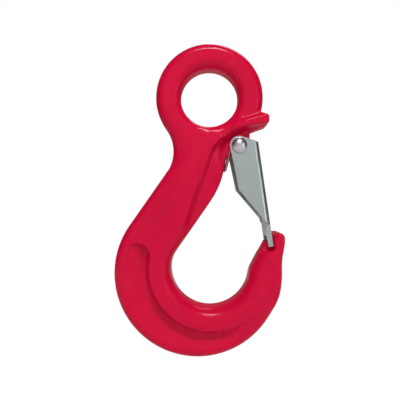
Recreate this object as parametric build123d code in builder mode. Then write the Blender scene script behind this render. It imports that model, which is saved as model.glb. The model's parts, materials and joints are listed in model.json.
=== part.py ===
from build123d import *

import os
from math import cos, radians, sin, tan

# Eye hook with latch: a forged hook, a pressed latch, its rivet and its double torsion spring.

os.makedirs("parts", exist_ok=True)

# Driving dimensions, millimetres and degrees. Pairs are (x, z) in the hook's middle plane.
# +Z up, origin at the centre of the eye, Y across the hook, the mouth on the +X side.
eye_bore_r = 16.0
eye_outer_r = 29.85
eye_outer_rise = 0.3
eye_half = 7.6
eye_mouth_round = 5.0
eye_rim_round = 5.6

bowl = (0.4, -94.35)
bowl_r = 21.75
bowl_round = 7.5
mouth_angle = -3.5
mouth_round = 12.0
rib_r = 35.5
rib_draft = 22.0
crest_r = 33.3
crest_angle = 155.0
crest_fade = 345.0
rim_fade = 335.0
back = (-6.75, -97.25)
back_r = 46.05
shank_slope = 54.6
waist_r = 21.0
crest_half = 10.4
rim_half = 7.4
rim_round = 4.4
tip_round = 2.0

shank_top = (-10.1, -21.9)
bend_r = 16.5
edge_low = (0.2, -58.1)
edge_high = (8.2, -39.5)
neck_low = (10.5, -28.0)
neck_high = (10.5, -12.0)

tip_apex = (31.0, -78.9)
bulb = (37.8, -77.7)
bulb_r = 3.2
ridge_half = 3.4
seat_gap = 0.35

pocket_r = 31.2
pocket_half = 4.7
pocket_lean = 73.0
pocket_end = (-39.2, -87.1)
pocket_end_r = 6.7

rivet = (16.0, -27.3)
rivet_r = 2.75
rivet_head_r = 4.4
rivet_head_h = 2.6
pin_clearance = 0.05
lug_half = 4.0
lug_r = 6.6
guard_half = 9.8

sheet = 2.6
latch_half = 10.4
latch_bend_r = 3.6
ear_r = 5.1
web_top = (26.6, -25.4)
web_lean = 8.34
shoulder_z = -24.3
tail_top_z = -68.0
tail_end_z = -81.8
tail_half = 7.4
notch_half = 4.0
notch_depth = 5.0

wire_r = 0.65
coil_r = 3.75
coil_turns = 2
coil_pitch = 1.13

beyond = 60.0


def polar(centre, radius, degrees):
    """Point at a radius and an angle round a centre, in the hook's own plane."""
    return (
        centre[0] + radius * cos(radians(degrees)),
        centre[1] + radius * sin(radians(degrees)),
    )


def layer(half):
    """Sketch plane parallel to the hook's middle plane, this far in front of it."""
    return Plane.XZ.offset(half)


def web_x(z, inset=0.0):
    """X of the latch's outer face at a height, moved inwards by an inset."""
    lean = radians(web_lean)
    return web_top[0] + (web_top[1] - z) * tan(lean) - inset / cos(lean)


def across(point, y=0.0):
    """Plane through a point of the middle plane, for sketches in X and Y that turn round a Y axis."""
    return Plane((point[0], y, point[1]), x_dir=(1, 0, 0), z_dir=(0, 0, 1))


def along(start, end, y):
    """Plane at a start point, facing an end point at the same Y."""
    return Plane((start[0], y, start[1]), z_dir=(end[0] - start[0], 0, end[1] - start[1]))


pivot = Axis((rivet[0], 0, rivet[1]), (0, 1, 0))

# Blank of the shank, bowl and tip at full thickness, its edges rounded.
back_angle = 90 + shank_slope
back_start = polar(back, back_r, back_angle)
bowl_start = polar(bowl, bowl_r, mouth_angle)
bowl_end = polar(bowl, bowl_r, 180)
bend = (bowl_end[0] + bend_r, bowl[1])
bend_end = polar(bend, bend_r, back_angle)

with BuildPart() as blank:
    with BuildSketch(Plane.XZ) as plan:
        with BuildLine():
            Polyline(neck_high, shank_top, back_start)
            CenterArc(back, back_r, back_angle, 360 - back_angle)
            Spline(
                polar(back, back_r, 0),
                (39.5, -88.5),
                (bulb[0] + bulb_r, bulb[1]),
                tangents=((0, 1), (0, 1)),
            )
            CenterArc(bulb, bulb_r, 0, 180)
            Polyline(
                (bulb[0] - bulb_r, bulb[1]),
                (bulb[0] - bulb_r, tip_apex[1] - 0.2),
                tip_apex,
                bowl_start,
            )
            CenterArc(bowl, bowl_r, mouth_angle, -180 - mouth_angle)
            ThreePointArc(bowl_end, polar(bend, bend_r, (180 + back_angle) / 2), bend_end)
            Line(bend_end, edge_low)
            TangentArc(edge_low, edge_high, tangent=(0.583, 0.813))
            Polyline(edge_high, neck_low, neck_high)
        make_face()
        fillet(plan.vertices().sort_by_distance((*bowl_start, 0))[0], mouth_round)
    extrude(amount=crest_half, both=True)
    faces_edges = blank.edges().filter_by(lambda edge: abs(abs(edge.center().Y) - crest_half) < 0.01)
    inner_edges = faces_edges.filter_by(
        lambda edge: (edge.center() - Vector(bowl[0], edge.center().Y, bowl[1])).length < 25
    )
    fillet(inner_edges, bowl_round)
    outer_edges = blank.edges().filter_by(
        lambda edge: abs(abs(edge.center().Y) - crest_half) < 0.01 and edge.center().X > 37
    )
    fillet(outer_edges, tip_round)

# Outside the crest line the shank and bowl fall away to a thinner rim.
with BuildPart() as slope:
    for half, centre, radius, angle, fade, top, far in (
        (crest_half + 0.4, bowl, crest_r - 0.6, crest_angle, crest_fade, (-3.5, -21.2), (90.0, -115.0)),
        (rim_half - 0.6, back, back_r + 1.0, back_angle, rim_fade, (-9.0, -19.0), (80.0, -140.0)),
    ):
        with BuildSketch(layer(half)):
            with BuildLine():
                Line(top, polar(centre, radius, angle))
                CenterArc(centre, radius, angle, fade - angle)
                Polyline(
                    polar(centre, radius, fade),
                    far,
                    (far[0], -190.0),
                    (-90.0, -190.0),
                    (-90.0, top[1]),
                    top,
                )
            make_face()
    loft(ruled=True)

# Forged pocket in the back of the bowl: steep walls along the rib and round its upper end, a
# conical floor that rises to meet the rim and runs out towards the tip.
with BuildPart() as pocket:
    with BuildSketch(layer(pocket_half)):
        with Locations(back):
            Circle(pocket_r)
    extrude(amount=crest_half + 1.0 - pocket_half, taper=-pocket_lean)
    with BuildSketch(Plane.XZ):
        with BuildLine():
            Polyline(
                (-80.0, pocket_end[1]),
                (beyond, pocket_end[1]),
                (beyond, -180.0),
                (-80.0, -180.0),
                close=True,
            )
        make_face()
        with Locations(pocket_end):
            Circle(pocket_end_r)
    extrude(amount=crest_half + 2.0, mode=Mode.INTERSECT)
    with BuildSketch(layer(pocket_half - 1.0)):
        with Locations(bowl):
            Circle(rib_r + tan(radians(rib_draft)))
    extrude(amount=crest_half + 2.0 - pocket_half, taper=rib_draft, mode=Mode.SUBTRACT)
    with BuildSketch(Plane.XY.offset(-150.0)):
        with BuildLine():
            Polyline(
                (-beyond, 0.0),
                (0.0, -pocket_half + 0.2),
                (26.0, -crest_half - 0.3),
                (26.0, -20.0),
                (-beyond, -20.0),
                close=True,
            )
        make_face()
    extrude(amount=100.0, mode=Mode.INTERSECT)

# Hollow beside the latch lug, from the front edge of the neck back to the lug and inner edge.
front_edge = (
    (34.5, -14.2),
    (19.0, -16.8),
    (8.8, -20.8),
    (1.6, -26.5),
    (-2.5, -33.7),
    (-11.6, -59.6),
    (-20.5, -85.5),
)
deep_edge = (
    (34.5, -16.0),
    (20.0, -18.8),
    (13.0, -21.8),
    (8.5, -26.3),
    (6.8, -34.0),
    (0.9, -57.6),
    (-18.5, -84.8),
)
with BuildPart() as hollow:
    for half, run in ((crest_half + 0.6, 0.0), (lug_half + 2.4, 0.35), (lug_half, 1.0)):
        edge_points = [
            (front[0] + run * (deep[0] - front[0]), front[1] + run * (deep[1] - front[1]))
            for front, deep in zip(front_edge, deep_edge)
        ]
        with BuildSketch(layer(half)):
            with BuildLine():
                Spline(*edge_points)
                Polyline(
                    edge_points[-1],
                    (18.0, edge_points[-1][1]),
                    (24.0, -70.0),
                    (45.0, -60.0),
                    (45.0, edge_points[0][1]),
                    edge_points[0],
                )
            make_face()
    loft(ruled=True)

# Long slope from the thick neck up to the thinner eye, short behind the guard.
with BuildPart() as step:
    for half, heights in (
        (crest_half + 0.4, (-44.0, -38.0, -27.0, -16.0, -8.8)),
        (eye_half, (-17.0, -21.6, -19.5, -13.0, -5.2)),
    ):
        with BuildSketch(layer(half)):
            with BuildLine():
                Polyline(
                    *zip((-40.0, -4.0, 9.0, 14.5, 40.0), heights),
                    (40.0, 50.0),
                    (-40.0, 50.0),
                    close=True,
                )
            make_face()
    loft(ruled=True)

# Seat for one arm of the latch's tail, beside the ridge on the tip.
with BuildPart() as seat:
    with BuildSketch(layer(ridge_half)) as seat_plan:
        with BuildLine():
            Polyline(
                (25.0, -70.0),
                (web_x(-70.0) + seat_gap, -70.0),
                (web_x(-84.3) + seat_gap, -84.3),
                (25.0, -85.6),
                close=True,
            )
        make_face()
        fillet(seat_plan.vertices().sort_by(Axis.X)[-1], 1.0)
    extrude(amount=beyond)

# Eye bore with rounded mouths, as one turned cutter.
with BuildPart() as bore:
    with BuildSketch(Plane.XY):
        with BuildLine():
            land = eye_half - eye_mouth_round
            flare_r = eye_bore_r + eye_mouth_round
            Polyline((0.0, -beyond), (flare_r, -beyond), (flare_r, -eye_half))
            CenterArc((flare_r, -land), eye_mouth_round, 180, 90)
            Line((eye_bore_r, -land), (eye_bore_r, land))
            CenterArc((flare_r, land), eye_mouth_round, 90, 90)
            Polyline((flare_r, eye_half), (flare_r, beyond), (0.0, beyond), (0.0, -beyond))
        make_face()
    revolve(axis=Axis.Y)

# Eye ring with its waist fillet into the back of the shank.
with BuildPart() as eye:
    with BuildSketch(Plane.XZ) as eye_plan:
        with Locations((0, eye_outer_rise)):
            Circle(eye_outer_r)
        with BuildLine():
            Polyline(
                neck_high,
                shank_top,
                back_start,
                (-20.0, -75.0),
                edge_low,
                (10.5, -30.0),
                close=True,
            )
        make_face()
        fillet(eye_plan.vertices().sort_by_distance((-12.5, -25.3, 0))[0], waist_r)
    extrude(amount=eye_half, both=True)
    round_edges = eye.edges().filter_by(
        lambda edge: abs(abs(edge.center().Y) - eye_half) < 0.01
        and (edge.geom_type == GeomType.CIRCLE or edge.center().X < -25)
    )
    fillet(round_edges, eye_rim_round)

with BuildPart() as hook_body:
    add(blank.part)
    with BuildSketch(Plane.XZ) as guard:
        with BuildLine():
            Polyline(
                (12.0, -8.0),
                (25.5, -7.2),
                (32.4, -10.1),
                (32.2, -15.4),
                (12.0, -23.2),
                close=True,
            )
        make_face()
        fillet(guard.vertices().sort_by(Axis.X)[-2:], 2.2)
    extrude(amount=guard_half, both=True)
    for cutter in (slope, pocket):
        add(cutter.part, mode=Mode.SUBTRACT)
        add(cutter.part.mirror(Plane.XZ), mode=Mode.SUBTRACT)
    rim_edges = hook_body.edges().filter_by(
        lambda edge: abs(abs(edge.center().Y) - rim_half) < 0.8
        and edge.length > 20
        and (edge.center() - Vector(back[0], edge.center().Y, back[1])).length > back_r - 3
    )
    fillet(rim_edges, rim_round)
    add(step.part, mode=Mode.SUBTRACT)
    add(step.part.mirror(Plane.XZ), mode=Mode.SUBTRACT)
    add(eye.part)
    with BuildSketch(Plane.XZ):
        with Locations(rivet):
            Circle(lug_r)
        with BuildLine():
            Polyline(
                (6.0, -38.0),
                (9.4, -33.0),
                (16.0, -33.0),
                (22.4, -27.0),
                (22.4, -15.0),
                (6.0, -15.0),
                close=True,
            )
        make_face()
    extrude(amount=lug_half, both=True)
    for cutter in (hollow, seat):
        add(cutter.part, mode=Mode.SUBTRACT)
        add(cutter.part.mirror(Plane.XZ), mode=Mode.SUBTRACT)
    add(bore.part, mode=Mode.SUBTRACT)
    with Locations(Location((rivet[0], 0, rivet[1]), (90, 0, 0))):
        Hole(rivet_r + pin_clearance)
hook_body.part.label = "hook_body"
export_step(hook_body.part, "parts/hook_body.step")

# Space inside the latch's channel.
with BuildPart() as cavity:
    with BuildSketch(Plane.XZ):
        with BuildLine():
            Polyline(
                (web_x(-10.0, sheet), -10.0),
                (web_x(-95.0, sheet), -95.0),
                (-20.0, -95.0),
                (-20.0, -10.0),
                close=True,
            )
        make_face()
    extrude(amount=latch_half - sheet, both=True)
    for end in (0, -1):
        fillet(cavity.edges().group_by(Axis.Y)[end].sort_by(Axis.X)[-1], latch_bend_r - sheet)

# Latch: a channel of pressed sheet, open towards the shank, with a flat notched tail.
shoulder = (web_x(shoulder_z), shoulder_z)
knee = (13.8, -48.7)
with BuildPart() as latch:
    with BuildSketch(Plane.XZ) as cheek:
        with BuildLine():
            ear_start = polar(rivet, ear_r, 192)
            ear_end = polar(rivet, ear_r, 72)
            ThreePointArc(ear_start, polar(rivet, ear_r, 130), ear_end)
            Polyline(
                ear_end,
                shoulder,
                (web_x(tail_end_z), tail_end_z),
                (web_x(tail_end_z, sheet), tail_end_z - 0.4),
                (web_x(tail_top_z, sheet), tail_top_z),
                knee,
                ear_start,
            )
        make_face()
        fillet(cheek.vertices().sort_by_distance((*shoulder, 0))[0], 1.6)
        fillet(cheek.vertices().sort_by_distance((*knee, 0))[0], 9.0)
    extrude(amount=latch_half, both=True)
    bends = latch.edges().filter_by(
        lambda edge: edge.length > 30
        and abs(abs(edge.center().Y) - latch_half) < 0.01
        and abs(edge.center().X - web_x(edge.center().Z)) < 0.01
    )
    fillet(bends, latch_bend_r)
    add(cavity.part, mode=Mode.SUBTRACT)
    with BuildSketch(Plane.YZ):
        with Locations((latch_half, -80.0), (-latch_half, -80.0)):
            Rectangle(2 * (latch_half - tail_half), 20.5)
        with BuildLine():
            notch_top = tail_end_z + notch_depth
            Polyline(
                (-notch_half, -90.0),
                (-notch_half, notch_top - 1.5),
                (0.0, notch_top + 0.5),
                (notch_half, notch_top - 1.5),
                (notch_half, -90.0),
                close=True,
            )
        make_face()
    extrude(amount=beyond, mode=Mode.SUBTRACT)
    with Locations(Location((rivet[0], 0, rivet[1]), (90, 0, 0))):
        Hole(rivet_r + pin_clearance)
latch.part.label = "latch"
export_step(latch.part, "parts/latch.step")

# Rivet: domed factory head in front, a flatter formed head behind.
grip = latch_half + 0.1
with BuildPart() as latch_rivet:
    with BuildSketch(Plane.XZ.offset(-grip)):
        with Locations(rivet):
            Circle(rivet_r)
    extrude(amount=2 * grip)
    for side, height in ((1, rivet_head_h), (-1, rivet_head_h * 0.8)):
        dome_r = (rivet_head_r**2 + height**2) / (2 * height)
        with BuildSketch(across(rivet, -side * grip)):
            with BuildLine():
                Polyline((0, -side * height), (0, 0), (rivet_head_r, 0))
                RadiusArc((rivet_head_r, 0), (0, -side * height), side * dome_r)
            make_face()
        revolve(axis=pivot)
latch_rivet.part.label = "latch_rivet"
export_step(latch_rivet.part, "parts/latch_rivet.step")

# Spring: a coil each side of the lug, its close turns drawn as one sleeve, a bridge that bears on
# the shank's edge and two legs that push on the latch.
coil_start = lug_half + 0.85
coil_end = coil_start + coil_turns * coil_pitch
leg_start = polar(rivet, coil_r, 25)
leg_foot = (web_x(-45.0, sheet) - 1.2, -45.0)
bridge_start = polar(rivet, coil_r, 170)
bridge_foot = (8.85, -40.2)

with BuildPart() as latch_spring:
    for side in (-1, 1):
        with BuildSketch(across(rivet)):
            with Locations((coil_r, side * (coil_start + coil_end) / 2)):
                Rectangle(2 * wire_r, coil_end - coil_start + 2 * wire_r)
        revolve(axis=pivot)
        with BuildSketch(along(leg_start, leg_foot, side * coil_end)):
            Circle(wire_r)
        extrude(amount=(Vector(*leg_foot) - Vector(*leg_start)).length)
    with BuildLine() as bridge:
        FilletPolyline(
            (bridge_start[0], -coil_start, bridge_start[1]),
            (bridge_foot[0], -coil_start, bridge_foot[1]),
            (bridge_foot[0], coil_start, bridge_foot[1]),
            (bridge_start[0], coil_start, bridge_start[1]),
            radius=1.3,
        )
    with BuildSketch(along(bridge_start, bridge_foot, -coil_start)):
        Circle(wire_r)
    sweep(path=bridge.wires()[0])
latch_spring.part.label = "latch_spring"
export_step(latch_spring.part, "parts/latch_spring.step")
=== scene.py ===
import json
from math import asin, cos, pi, radians, sin, tan

import bmesh
import bpy
from mathutils import Matrix, Vector


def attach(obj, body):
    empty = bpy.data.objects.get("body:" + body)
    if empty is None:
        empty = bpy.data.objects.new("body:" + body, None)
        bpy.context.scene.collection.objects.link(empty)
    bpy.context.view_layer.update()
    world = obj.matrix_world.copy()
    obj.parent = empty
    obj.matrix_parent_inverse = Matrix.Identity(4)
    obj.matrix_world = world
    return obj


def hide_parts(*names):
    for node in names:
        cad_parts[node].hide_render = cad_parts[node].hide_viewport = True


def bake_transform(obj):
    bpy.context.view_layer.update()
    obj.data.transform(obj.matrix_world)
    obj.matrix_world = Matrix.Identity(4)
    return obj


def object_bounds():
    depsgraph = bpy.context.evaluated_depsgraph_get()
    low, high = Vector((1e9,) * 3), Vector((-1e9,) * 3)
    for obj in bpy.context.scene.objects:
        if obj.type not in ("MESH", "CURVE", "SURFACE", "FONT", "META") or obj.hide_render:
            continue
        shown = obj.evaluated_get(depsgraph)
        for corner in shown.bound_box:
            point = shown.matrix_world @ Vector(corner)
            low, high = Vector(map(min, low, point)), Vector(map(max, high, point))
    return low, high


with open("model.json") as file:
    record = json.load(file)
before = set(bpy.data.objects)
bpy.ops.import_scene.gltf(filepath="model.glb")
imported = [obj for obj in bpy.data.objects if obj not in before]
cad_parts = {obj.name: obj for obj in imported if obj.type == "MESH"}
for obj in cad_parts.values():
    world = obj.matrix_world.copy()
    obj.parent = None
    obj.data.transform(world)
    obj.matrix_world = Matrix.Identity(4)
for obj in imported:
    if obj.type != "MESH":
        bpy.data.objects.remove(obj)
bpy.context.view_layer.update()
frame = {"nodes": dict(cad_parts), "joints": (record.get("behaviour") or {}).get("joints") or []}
mm = 0.001
closeM = 1e-6  # vertices nearer than this are one
hinge = frame["joints"][0]
rivetCentre = Vector(hinge["pos_m"])


def fromHex(code):
    # sRGB hex to the linear colour that the shader wants
    channels = [int(code[i:i + 2], 16) / 255 for i in (0, 2, 4)]
    return [c / 12.92 if c <= 0.04045 else ((c + 0.055) / 1.055) ** 2.4 for c in channels] + [1.0]


def addNode(tree, kind, settings=None, links=None):
    # one node: settings are its properties and unlinked sockets, links are socket -> (node, output)
    node = tree.nodes.new(kind)
    for name, value in (settings or {}).items():
        if name in node.inputs:
            node.inputs[name].default_value = value
        else:
            setattr(node, name, value)
    for name, (source, output) in (links or {}).items():
        tree.links.new(source.outputs[output], node.inputs[name])
    return node


def newMaterial(name):
    material = bpy.data.materials.new(name)
    material.use_nodes = True
    material.node_tree.nodes.clear()
    return material, material.node_tree


# Powder coat: sprayed, melted and cured, so it is thick, glossy and slightly orange-peeled
powder = {
    "colour": "D20A3A",
    "pooled": "BC0832",
    "peelMm": 1.3,
    "peelDepthMm": 0.02,
    "peelStrength": 0.35,
    "patchMm": 18.0,
    "roughness": 0.19,
    "sheen": 0.12,
}


def redPowderCoat():
    material, tree = newMaterial("redPowderCoat")
    place = addNode(tree, "ShaderNodeTexCoord")
    patches = addNode(tree, "ShaderNodeTexNoise",
                      {"Scale": 1 / (powder["patchMm"] * mm), "Detail": 3.0, "Roughness": 0.55},
                      {"Vector": (place, "Object")})
    tint = addNode(tree, "ShaderNodeMix", {"data_type": "RGBA"})
    tint.inputs[6].default_value = fromHex(powder["colour"])
    tint.inputs[7].default_value = fromHex(powder["pooled"])
    fade = addNode(tree, "ShaderNodeMapRange",
                   {"From Min": 0.45, "From Max": 0.85, "To Min": 0.0, "To Max": 0.5},
                   {"Value": (patches, "Fac")})
    tree.links.new(fade.outputs["Result"], tint.inputs[0])
    peel = addNode(tree, "ShaderNodeTexNoise",
                   {"Scale": 1 / (powder["peelMm"] * mm), "Detail": 1.5, "Roughness": 0.4},
                   {"Vector": (place, "Object")})
    bump = addNode(tree, "ShaderNodeBump",
                   {"Strength": powder["peelStrength"], "Distance": powder["peelDepthMm"] * mm},
                   {"Height": (peel, "Fac")})
    gloss = addNode(tree, "ShaderNodeMapRange",
                    {"From Min": 0.3, "From Max": 0.7,
                     "To Min": powder["roughness"] - 0.04, "To Max": powder["roughness"] + 0.05},
                    {"Value": (patches, "Fac")})
    shader = addNode(tree, "ShaderNodeBsdfPrincipled",
                     {"IOR": 1.5, "Specular IOR Level": powder["sheen"]},
                     {"Base Color": (tint, 2), "Roughness": (gloss, "Result"), "Normal": (bump, "Normal")})
    addNode(tree, "ShaderNodeOutputMaterial", None, {"Surface": (shader, "BSDF")})
    return material


# Zinc-plated pressed sheet: satin, with the mill's fine rolling lines running down the latch
zinc = {
    "colour": "B9C1C1",
    "lineMm": 0.5,
    "lineLengthMm": 14.0,
    "lineDepthMm": 0.01,
    "lineLeanDegrees": 8.3,
    "cloudMm": 11.1,
    "roughness": 0.36,
    "roughnessSpread": 0.07,
}


def satinZincSheet():
    material, tree = newMaterial("satinZincSheet")
    place = addNode(tree, "ShaderNodeTexCoord")
    along = addNode(tree, "ShaderNodeMapping",
                    {"Rotation": (0, radians(-zinc["lineLeanDegrees"]), 0),
                     "Scale": (1 / (zinc["lineMm"] * mm), 1 / (zinc["lineMm"] * mm),
                               1 / (zinc["lineLengthMm"] * mm))},
                    {"Vector": (place, "Object")})
    lines = addNode(tree, "ShaderNodeTexNoise",
                    {"Scale": 1.0, "Detail": 2.0}, {"Vector": (along, "Vector")})
    clouds = addNode(tree, "ShaderNodeTexNoise",
                     {"Scale": 1 / (zinc["cloudMm"] * mm), "Detail": 3.0}, {"Vector": (place, "Object")})
    mixed = addNode(tree, "ShaderNodeMath", {"operation": "MULTIPLY"},
                    {0: (lines, "Fac"), 1: (clouds, "Fac")})
    gloss = addNode(tree, "ShaderNodeMapRange",
                    {"From Min": 0.1, "From Max": 0.4,
                     "To Min": zinc["roughness"] - zinc["roughnessSpread"],
                     "To Max": zinc["roughness"] + zinc["roughnessSpread"]},
                    {"Value": (mixed, "Value")})
    bump = addNode(tree, "ShaderNodeBump",
                   {"Strength": 0.3, "Distance": zinc["lineDepthMm"] * mm}, {"Height": (lines, "Fac")})
    shader = addNode(tree, "ShaderNodeBsdfPrincipled",
                     {"Base Color": fromHex(zinc["colour"]), "Metallic": 1.0},
                     {"Roughness": (gloss, "Result"), "Normal": (bump, "Normal")})
    addNode(tree, "ShaderNodeOutputMaterial", None, {"Surface": (shader, "BSDF")})
    return material


# Plain steel, cold-headed for the rivet and drawn for the wire: bright, with faint handling marks
steels = {
    "brightHeadedSteel": {"colour": "CCCCD2", "roughness": 0.3, "marksMm": 2.0},
    "drawnSpringWire": {"colour": "A9A6A0", "roughness": 0.3, "marksMm": 1.0},
}


def plainSteel(name):
    steel = steels[name]
    material, tree = newMaterial(name)
    place = addNode(tree, "ShaderNodeTexCoord")
    marks = addNode(tree, "ShaderNodeTexNoise",
                    {"Scale": 1 / (steel["marksMm"] * mm), "Detail": 4.0, "Roughness": 0.6},
                    {"Vector": (place, "Object")})
    gloss = addNode(tree, "ShaderNodeMapRange",
                    {"From Min": 0.3, "From Max": 0.7,
                     "To Min": steel["roughness"] - 0.06, "To Max": steel["roughness"] + 0.08},
                    {"Value": (marks, "Fac")})
    shader = addNode(tree, "ShaderNodeBsdfPrincipled",
                     {"Base Color": fromHex(steel["colour"]), "Metallic": 1.0},
                     {"Roughness": (gloss, "Result")})
    addNode(tree, "ShaderNodeOutputMaterial", None, {"Surface": (shader, "BSDF")})
    return material


redCoat = redPowderCoat()
zincSheet = satinZincSheet()
brightSteel = plainSteel("brightHeadedSteel")
springSteel = plainSteel("drawnSpringWire")
print("materials made")


def vertsOf(geom):
    return [g for g in geom if isinstance(g, bmesh.types.BMVert)]


def edgesOf(geom):
    return [g for g in geom if isinstance(g, bmesh.types.BMEdge)]


def addPiece(name, source, material, node, body=None):
    # a finished piece from a bmesh, shaded smooth; one without a body is left unattached, and its maker
    # bakes its transform
    mesh = bpy.data.meshes.new(name)
    source.to_mesh(mesh)
    source.free()
    mesh.materials.append(material)
    for face in mesh.polygons:
        face.use_smooth = True
    piece = bpy.data.objects.new(name, mesh)
    bpy.context.scene.collection.objects.link(piece)
    if body:
        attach(piece, body)
    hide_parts(node)
    return piece


def applyModifiers(piece):
    graph = bpy.context.evaluated_depsgraph_get()
    done = bpy.data.meshes.new_from_object(piece.evaluated_get(graph))
    old = piece.data
    piece.modifiers.clear()
    piece.data = done
    bpy.data.meshes.remove(old)


# Hook: a forging under a thick coat, so every edge is soft
forging = {
    "weldMm": 0.002,
    "voxelMm": 0.7,
    "softening": 5,
    "patchSoftening": 60,
    "neck": {"acrossMm": (-60.0, 1.0), "heightMm": (-48.0, -16.5), "depthMm": 6.5},
    "guardRoot": {"acrossMm": (3.0, 19.0), "heightMm": (-22.0, -7.0), "depthMm": 5.0},
}


def skinPatch(work, acrossMm, heightMm, depthMm):
    # the front and back skin inside a box
    return [v for v in work.verts
            if acrossMm[0] * mm < v.co.x < acrossMm[1] * mm
            and heightMm[0] * mm < v.co.z < heightMm[1] * mm
            and abs(v.co.y) > depthMm * mm]


def makeHook():
    work = bmesh.new()
    work.from_mesh(frame["nodes"]["hook_body"].data)
    bmesh.ops.remove_doubles(work, verts=work.verts, dist=forging["weldMm"] * mm)
    piece = addPiece("forgedHook", work, redCoat, "hook_body", "hook")
    remesh = piece.modifiers.new("forge", "REMESH")
    remesh.mode = "VOXEL"
    remesh.voxel_size = forging["voxelMm"] * mm
    remesh.use_smooth_shade = True
    soften = piece.modifiers.new("soften", "SMOOTH")
    soften.factor = 0.5
    soften.iterations = forging["softening"]
    applyModifiers(piece)

    # the broad blends at the neck and the guard's root are softened much more
    work = bmesh.new()
    work.from_mesh(piece.data)
    for patch in [skinPatch(work, **forging[name]) for name in ("neck", "guardRoot")]:
        for turn in range(forging["patchSoftening"]):
            bmesh.ops.smooth_vert(work, verts=patch, factor=0.5,
                                  use_axis_x=True, use_axis_y=True, use_axis_z=True)
    work.to_mesh(piece.data)
    work.free()
    print("hook", len(piece.data.polygons), "faces")


makeHook()

# Latch: one strip of sheet folded to a channel, sheared to outline, its edges just broken
plate = {
    "sheetMm": 2.6,
    "halfWidthMm": 10.4,
    "bendRadiusMm": 3.6,
    "bendSteps": 10,
    "stripTopMm": -8.0,
    "stripLengthMm": 90.0,
    "cheekMm": 26.0,
    "leanDegrees": 8.34,
    "webTopMm": (26.6, -25.4),
    "shoulderMm": -24.3,
    "shoulderRoundMm": 2.0,
    "cornerSteps": 6,
    "earRadiusMm": 5.1,
    "earDegrees": (72, 192),
    "earSteps": 10,
    "kneeMm": (13.8, -48.7),
    "kneeRoundMm": 9.0,
    "lapMm": -68.0,
    "tailTopMm": -69.75,
    "tailEndMm": -81.9,
    "notchHalfMm": 4.0,
    "notchDepthMm": 5.5,
    "edgeMm": 0.3,
    "shearedDegrees": 50,
    "creaseDegrees": 60,
}


def onWeb(height, inset=0.0):
    # point of the web's outer face at a height, in the middle of the latch
    lean = radians(plate["leanDegrees"])
    x, z = plate["webTopMm"]
    return Vector((x + (z - height) * tan(lean) - inset / cos(lean), 0, height)) * mm


def cutFaces(work, faces, point, normal):
    # cut these faces, and no others, along a plane
    edges = {e for f in faces for e in f.edges}
    verts = {v for f in faces for v in f.verts}
    bmesh.ops.bisect_plane(work, geom=faces + list(edges) + list(verts), dist=closeM,
                           plane_co=point, plane_no=normal)


def trim(work, wanted, point, outward):
    # shear the wanted faces along a plane and drop what lies on its outward side
    cutFaces(work, [f for f in work.faces if wanted(f)], point, outward)
    gone = [f for f in work.faces
            if wanted(f) and (f.calc_center_median() - point).dot(outward) > closeM]
    bmesh.ops.delete(work, geom=gone, context="FACES")


def roundCorner(work, wanted, corner, first, second, radius):
    # shear a corner between two edges to a radius; first and second are the edges' outward normals
    middle = (first + second).normalized()
    centre = corner - middle * radius / middle.dot(first)
    for i in range(plate["cornerSteps"] + 1):
        outward = first.slerp(second, i / plate["cornerSteps"])
        trim(work, wanted, centre + outward * radius, outward)


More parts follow.
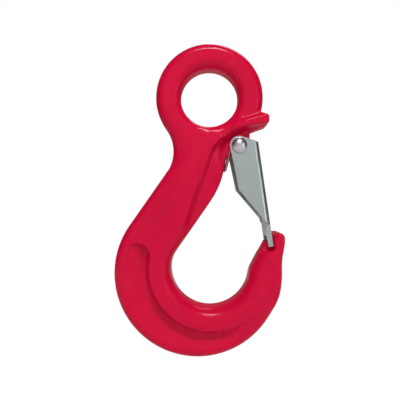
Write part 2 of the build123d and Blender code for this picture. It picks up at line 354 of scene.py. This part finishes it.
def makeLatch():
    lean = radians(plate["leanDegrees"])
    down = Vector((sin(lean), 0, -cos(lean)))
    inward = Vector((-cos(lean), 0, -sin(lean)))
    half = plate["halfWidthMm"] * mm
    bend = plate["bendRadiusMm"] * mm

    # half the fold, from the middle of the web round the bend and along the cheek
    work = bmesh.new()
    middle = work.verts.new(onWeb(plate["stripTopMm"]))
    made = bmesh.ops.extrude_vert_indiv(work, verts=[middle])["verts"]
    bmesh.ops.translate(work, verts=made, vec=(0, half - bend, 0))
    made = bmesh.ops.spin(work, geom=made, cent=made[0].co + inward * bend, axis=-down, angle=pi / 2,
                          steps=plate["bendSteps"])["geom_last"]
    made = bmesh.ops.extrude_vert_indiv(work, verts=vertsOf(made))["verts"]
    bmesh.ops.translate(work, verts=made, vec=inward * plate["cheekMm"] * mm)
    bmesh.ops.mirror(work, geom=work.verts[:] + work.edges[:], axis="Y", merge_dist=closeM)
    skin = bmesh.ops.extrude_edge_only(work, edges=work.edges[:])["geom"]
    bmesh.ops.translate(work, verts=vertsOf(skin), vec=down * plate["stripLengthMm"] * mm)

    # the first step of each bend stays with the tail
    tailHalf = half - bend + bend * sin(pi / 2 / plate["bendSteps"])

    def cheek(face):
        return abs(face.calc_center_median().y) > tailHalf

    def tail(face):
        return not cheek(face)

    def everywhere(face):
        return True

    centre = Vector((rivetCentre.x, 0, rivetCentre.z))
    ear = plate["earRadiusMm"] * mm
    shoulder = onWeb(plate["shoulderMm"])
    knee = Vector((plate["kneeMm"][0], 0, plate["kneeMm"][1])) * mm
    lap = onWeb(plate["lapMm"], plate["sheetMm"])

    # the ear, the shoulder, then the long edges either side of the knee
    earEnd, earStart = [radians(angle) for angle in plate["earDegrees"]]
    for i in range(plate["earSteps"] + 1):
        turn = earEnd + (earStart - earEnd) * i / plate["earSteps"]
        outward = Vector((cos(turn), 0, sin(turn)))
        trim(work, cheek, centre + outward * ear, outward)
    leave = centre + Vector((cos(earEnd), 0, sin(earEnd))) * ear
    join = centre + Vector((cos(earStart), 0, sin(earStart))) * ear
    topNormal = Vector((leave.z - shoulder.z, 0, shoulder.x - leave.x)).normalized()
    roundCorner(work, everywhere, shoulder, topNormal, -inward, plate["shoulderRoundMm"] * mm)
    upper = (knee - join).normalized()
    lower = (lap - knee).normalized()
    roundCorner(work, cheek, knee, Vector((upper.z, 0, -upper.x)), Vector((lower.z, 0, -lower.x)),
                plate["kneeRoundMm"] * mm)
    trim(work, cheek, onWeb(plate["tailTopMm"]), Vector((0, 0, -1)))

    # the tail and its notch, which clears the ridge on the hook's tip
    trim(work, tail, onWeb(plate["tailEndMm"]), down)
    notchHalf = plate["notchHalfMm"] * mm
    for side in (-1, 1):
        cutFaces(work, [f for f in work.faces if tail(f)], Vector((0, side * notchHalf, 0)), (0, 1, 0))

    def throat(face):
        return abs(face.calc_center_median().y) < notchHalf

    trim(work, throat, onWeb(plate["tailEndMm"] + plate["notchDepthMm"]), down)

    bmesh.ops.remove_doubles(work, verts=work.verts, dist=closeM)
    bmesh.ops.recalc_face_normals(work, faces=work.faces)
    web = max(work.faces, key=lambda f: f.calc_area() * (abs(f.calc_center_median().y) < notchHalf))
    if web.normal.dot(inward) > 0:
        bmesh.ops.reverse_faces(work, faces=work.faces)
    bmesh.ops.solidify(work, geom=work.faces[:], thickness=plate["sheetMm"] * mm)
    bmesh.ops.recalc_face_normals(work, faces=work.faces)
    sheared = [e for e in work.edges
               if len(e.link_faces) == 2 and e.calc_face_angle() > radians(plate["shearedDegrees"])]
    bmesh.ops.bevel(work, geom=sheared, offset=plate["edgeMm"] * mm, segments=2, profile=0.5,
                    affect="EDGES", material=-1, clamp_overlap=True)
    bmesh.ops.recalc_face_normals(work, faces=work.faces)
    piece = addPiece("latchPlate", work, zincSheet, "latch", "latch")
    piece.data.set_sharp_from_angle(angle=radians(plate["creaseDegrees"]))
    weighted = piece.modifiers.new("flatFaces", "WEIGHTED_NORMAL")
    weighted.keep_sharp = True
    applyModifiers(piece)
    return piece


latchPlate = makeLatch()
print("latch", [round(side * 1000, 1) for side in latchPlate.dimensions])

# Rivet: domed head in front, a flatter formed one behind, on a plain shank
rivet = {
    "shankRadiusMm": 2.75,
    "headRadiusMm": 4.4,
    "frontRiseMm": 2.6,
    "backRiseMm": 2.1,
    "halfGripMm": 10.5,
    "rimMm": 0.12,
    "domeSteps": 12,
    "roundSteps": 48,
    "creaseDegrees": 50,
}


def domeRadius(riseMm):
    return (rivet["headRadiusMm"] ** 2 + riseMm ** 2) / (2 * riseMm) * mm


def makeRivet():
    work = bmesh.new()
    head = rivet["headRadiusMm"] * mm
    grip = rivet["halfGripMm"] * mm
    shank = rivet["shankRadiusMm"] * mm
    frontR = domeRadius(rivet["frontRiseMm"])
    backR = domeRadius(rivet["backRiseMm"])
    apex = work.verts.new(rivetCentre - Vector((0, grip + rivet["frontRiseMm"] * mm, 0)))
    last = bmesh.ops.spin(work, geom=[apex], cent=apex.co + Vector((0, frontR, 0)), axis=(0, 0, 1),
                          angle=asin(head / frontR), steps=rivet["domeSteps"])["geom_last"]
    for x, y in ((shank, -grip), (shank, grip), (head, grip)):
        last = bmesh.ops.extrude_vert_indiv(work, verts=vertsOf(last))["verts"]
        last[0].co = rivetCentre + Vector((x, y, 0))
    bmesh.ops.spin(work, geom=last, axis=(0, 0, 1), angle=asin(head / backR), steps=rivet["domeSteps"],
                   cent=rivetCentre + Vector((0, grip + rivet["backRiseMm"] * mm - backR, 0)))
    bmesh.ops.spin(work, geom=work.edges[:], cent=rivetCentre, axis=(0, 1, 0), angle=2 * pi,
                   steps=rivet["roundSteps"], use_merge=True)
    bmesh.ops.remove_doubles(work, verts=work.verts, dist=closeM)
    bmesh.ops.recalc_face_normals(work, faces=work.faces)
    rims = [e for e in work.edges
            if all(abs((v.co - rivetCentre).xz.length - head) < 10 * closeM for v in e.verts)]
    bmesh.ops.bevel(work, geom=rims, offset=rivet["rimMm"] * mm, segments=3, profile=0.5,
                    affect="EDGES", material=-1)
    bmesh.ops.recalc_face_normals(work, faces=work.faces)
    piece = addPiece("domedRivet", work, brightSteel, "latch_rivet", "hook")
    piece.data.set_sharp_from_angle(angle=radians(rivet["creaseDegrees"]))


makeRivet()

# Spring: a coil each side of the lug, its inner end bearing on the shank, its outer end on the latch
wire = {
    "wireRadiusMm": 0.62,
    "coilRadiusMm": 3.75,
    "innerMm": 4.85,
    "outerMm": 7.11,
    "bridgeDegrees": 170,
    "legDegrees": 25,
    "turns": 1,
    "bridgeFootMm": (8.85, -40.2),
    "legFootMm": (25.65, -45.0),
    "cornerMm": 1.3,
    "stepDegrees": 10,
    "cornerSteps": 8,
    "wireSides": 12,
}


def makeSpring(name, side):
    work = bmesh.new()
    inner, outer = side * wire["innerMm"] * mm, side * wire["outerMm"] * mm
    coil = wire["coilRadiusMm"] * mm
    corner = wire["cornerMm"] * mm

    def onCoil(degrees, y):
        return rivetCentre + Vector((coil * cos(radians(degrees)), y, coil * sin(radians(degrees))))

    def grow(edges, vec):
        grown = bmesh.ops.extrude_edge_only(work, edges=edges)["geom"]
        bmesh.ops.translate(work, verts=vertsOf(grown), vec=vec)
        return edgesOf(grown)

    # the coil first, from the bridge's end round to the leg's end
    sweep = wire["bridgeDegrees"] - wire["legDegrees"] + 360 * wire["turns"]
    steps = round(sweep / wire["stepDegrees"])
    first = onCoil(wire["bridgeDegrees"], inner)
    facing = Vector((sin(radians(wire["bridgeDegrees"])), 0, -cos(radians(wire["bridgeDegrees"]))))
    place = Matrix.Translation(first) @ facing.to_track_quat("Z", "Y").to_matrix().to_4x4()
    bmesh.ops.create_circle(work, segments=wire["wireSides"], radius=wire["wireRadiusMm"] * mm, matrix=place)
    startRing = work.edges[:]
    last = bmesh.ops.spin(work, geom=startRing, cent=rivetCentre, axis=(0, 1, 0), angle=radians(sweep),
                          steps=steps, dvec=Vector((0, (outer - inner) / steps, 0)))["geom_last"]

    # the leg that pushes on the latch
    foot = Vector((wire["legFootMm"][0], 0, wire["legFootMm"][1])) * mm
    endPoint = onCoil(wire["legDegrees"], outer)
    leg = Vector((foot.x, outer, foot.z)) - endPoint
    endRing = grow(edgesOf(last), leg)
    bmesh.ops.holes_fill(work, edges=endRing)

    # the bridge down the shank's edge and half way across
    foot = Vector((wire["bridgeFootMm"][0], 0, wire["bridgeFootMm"][1])) * mm
    arm = Vector((foot.x, inner, foot.z)) - first
    straight = arm * ((arm.length - corner) / arm.length)
    ring = grow(startRing, straight)
    turnCentre = first + straight - Vector((0, side * corner, 0))
    turnAxis = arm.cross(Vector((0, -side, 0))).normalized()
    last = bmesh.ops.spin(work, geom=ring, cent=turnCentre, axis=turnAxis, angle=pi / 2,
                          steps=wire["cornerSteps"])["geom_last"]
    grow(edgesOf(last), Vector((0, -inner + side * corner, 0)))
    bmesh.ops.remove_doubles(work, verts=work.verts, dist=closeM)
    bmesh.ops.recalc_face_normals(work, faces=work.faces)
    piece = addPiece(name, work, springSteel, "latch_spring")
    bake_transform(piece)


makeSpring("springFront", -1)
makeSpring("springBack", 1)
print("rivet and spring made")

# Stage: pale floor well below the hanging hook, soft light from above and in front
stage = {
    "floorDropMm": 30.0,
    "floorSizeM": 8.0,
    "floorColour": "F4F4F4",
    "cameraMm": (-5.25, -210.0, -56.7),
    "lensMm": 33.45,
    "sensorMm": 36.0,
}
softboxes = {  # metres and watts
    "keyLight": {"place": (0.05, -0.60, 0.90), "size": (0.40, 0.10), "power": 7.0},
    "fillLight": {"place": (0.78, -0.60, 0.05), "size": (0.25, 0.60), "power": 1.0},
    "backLight": {"place": (0.25, 0.60, 0.90), "size": (0.50, 0.30), "power": 1.5},
}
low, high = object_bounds()


def makeFloor():
    # plain white to the camera, and a pale matt floor to everything else
    material, tree = newMaterial("paleFloor")
    shader = addNode(tree, "ShaderNodeBsdfDiffuse", {"Color": fromHex(stage["floorColour"])})
    glow = addNode(tree, "ShaderNodeEmission", {"Color": (1, 1, 1, 1), "Strength": 1.0})
    paths = addNode(tree, "ShaderNodeLightPath")
    blown = addNode(tree, "ShaderNodeMixShader", None, {"Fac": (paths, "Is Camera Ray")})
    tree.links.new(shader.outputs[0], blown.inputs[1])
    tree.links.new(glow.outputs[0], blown.inputs[2])
    addNode(tree, "ShaderNodeOutputMaterial", None, {"Surface": (blown, "Shader")})
    work = bmesh.new()
    bmesh.ops.create_grid(work, x_segments=1, y_segments=1, size=stage["floorSizeM"] / 2)
    bmesh.ops.translate(work, verts=work.verts, vec=(0, 0, low.z - stage["floorDropMm"] * mm))
    mesh = bpy.data.meshes.new("floor")
    work.to_mesh(mesh)
    work.free()
    mesh.materials.append(material)
    floor = bpy.data.objects.new("floor", mesh)
    bpy.context.scene.collection.objects.link(floor)


def makeWorld():
    # white to the camera; the coat is lit from front and back, and what shines mirrors a soft front
    # card and a faint back one
    world = bpy.data.worlds.new("studio")
    bpy.context.scene.world = world
    world.use_nodes = True
    tree = world.node_tree
    tree.nodes.clear()
    place = addNode(tree, "ShaderNodeTexCoord")
    parts = addNode(tree, "ShaderNodeSeparateXYZ", None, {"Vector": (place, "Generated")})
    facing = addNode(tree, "ShaderNodeMath", {"operation": "ABSOLUTE"}, {0: (parts, "Y")})
    around = addNode(tree, "ShaderNodeMapRange",
                     {"From Min": 0.3, "From Max": 1.0, "To Min": 0.04, "To Max": 0.96},
                     {"Value": (facing, "Value")})
    ahead = addNode(tree, "ShaderNodeMapRange",
                    {"From Min": -0.3, "From Max": -0.95, "To Min": 0.04, "To Max": 0.76},
                    {"Value": (parts, "Y")})
    behind = addNode(tree, "ShaderNodeMapRange",
                     {"From Min": 0.3, "From Max": 0.95, "To Min": 0.0, "To Max": 0.12},
                     {"Value": (parts, "Y")})
    cards = addNode(tree, "ShaderNodeMath", {"operation": "ADD"},
                    {0: (ahead, "Result"), 1: (behind, "Result")})
    paths = addNode(tree, "ShaderNodeLightPath")
    seen = addNode(tree, "ShaderNodeBackground", {"Color": (1, 1, 1, 1), "Strength": 1.0})
    lit = addNode(tree, "ShaderNodeBackground",
                  {"Color": (1, 1, 1, 1)}, {"Strength": (around, "Result")})
    mirrored = addNode(tree, "ShaderNodeBackground",
                       {"Color": (1, 1, 1, 1)}, {"Strength": (cards, "Value")})
    inner = addNode(tree, "ShaderNodeMixShader", None, {"Fac": (paths, "Is Glossy Ray")})
    tree.links.new(lit.outputs[0], inner.inputs[1])
    tree.links.new(mirrored.outputs[0], inner.inputs[2])
    outer = addNode(tree, "ShaderNodeMixShader", None, {"Fac": (paths, "Is Camera Ray")})
    tree.links.new(inner.outputs[0], outer.inputs[1])
    tree.links.new(seen.outputs[0], outer.inputs[2])
    addNode(tree, "ShaderNodeOutputWorld", None, {"Surface": (outer, "Shader")})


def addSoftbox(name, target, place, size, power):
    light = bpy.data.lights.new(name, "AREA")
    light.shape = "RECTANGLE"
    light.size, light.size_y = size
    light.energy = power
    lamp = bpy.data.objects.new(name, light)
    lamp.location = place
    lamp.rotation_euler = (Vector(target) - Vector(place)).to_track_quat("-Z", "Y").to_euler()
    bpy.context.scene.collection.objects.link(lamp)


def makeCamera():
    data = bpy.data.cameras.new("camera")
    data.sensor_width = stage["sensorMm"]
    data.lens = stage["lensMm"]
    data.clip_start = 0.01
    camera = bpy.data.objects.new("camera", data)
    camera.location = Vector(stage["cameraMm"]) * mm
    camera.rotation_euler = (pi / 2, 0, 0)
    bpy.context.scene.collection.objects.link(camera)
    bpy.context.scene.camera = camera


makeFloor()
makeWorld()
for name, box in softboxes.items():
    addSoftbox(name, (low + high) / 2, **box)
makeCamera()
bpy.context.scene.view_settings.view_transform = "Standard"
print("stage set")
